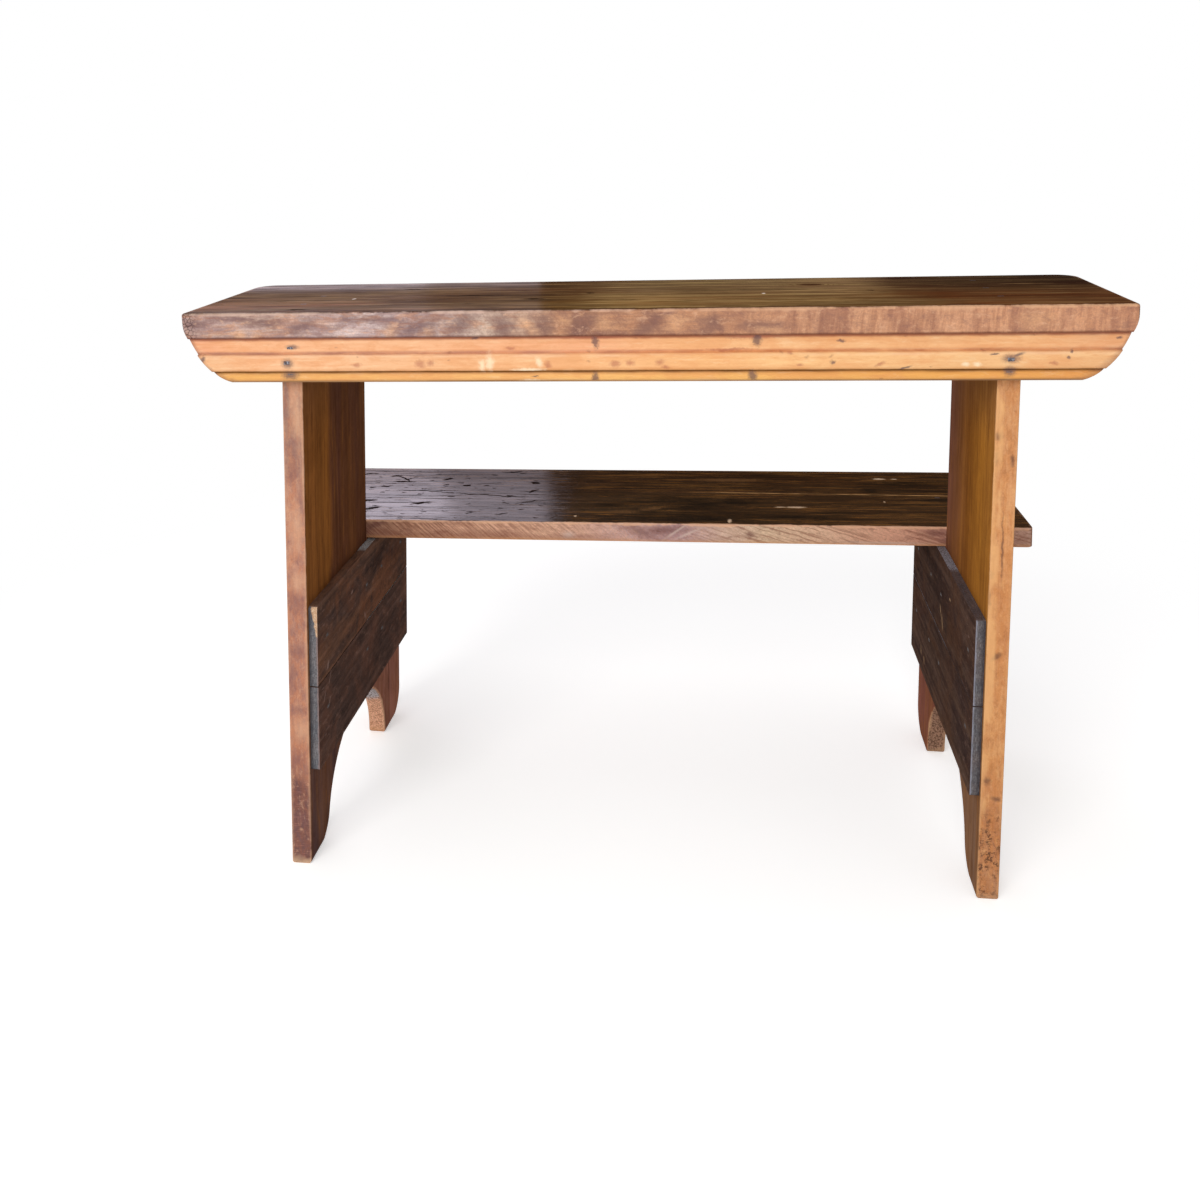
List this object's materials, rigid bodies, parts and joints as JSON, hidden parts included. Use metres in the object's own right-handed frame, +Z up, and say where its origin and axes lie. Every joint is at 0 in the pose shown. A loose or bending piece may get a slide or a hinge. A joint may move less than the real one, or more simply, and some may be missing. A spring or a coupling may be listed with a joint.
{
  "type": "bucket bench",
  "caption": "Nailed pine bucket bench with a moulded front board, bootjack board ends and a lower shelf behind the tall boards.",
  "frame": {"origin": "on the floor, under the middle of the bench's overall length and depth", "axes": "+X along the bench, to the right when facing the moulded front; +Y from the moulded front towards the shelf side; +Z up"},
  "size_m": [1.08, 0.472, 0.706],
  "materials": {
    "top_wood": "waxed",
    "moulding_wood": "waxed",
    "leg_wood": "waxed",
    "shelf_wood": "waxed",
    "batten_wood": "matte",
    "nail_iron": "rusted"
  },
  "bodies": {
    "root": {"top_plank": "top_wood", "front_apron": "moulding_wood", "left_leg_front_board": "leg_wood", "left_leg_rear_board": "leg_wood", "right_leg_front_board": "leg_wood", "right_leg_rear_board": "leg_wood", "shelf_plank": "shelf_wood", "left_batten_lower": "batten_wood", "left_batten_upper": "batten_wood", "right_batten_lower": "batten_wood", "right_batten_upper": "batten_wood", "top_nails": "nail_iron", "apron_nails": "nail_iron", "shelf_nails": "nail_iron", "left_batten_nails": "nail_iron", "right_batten_nails": "nail_iron"}
  },
  "joints": []
}
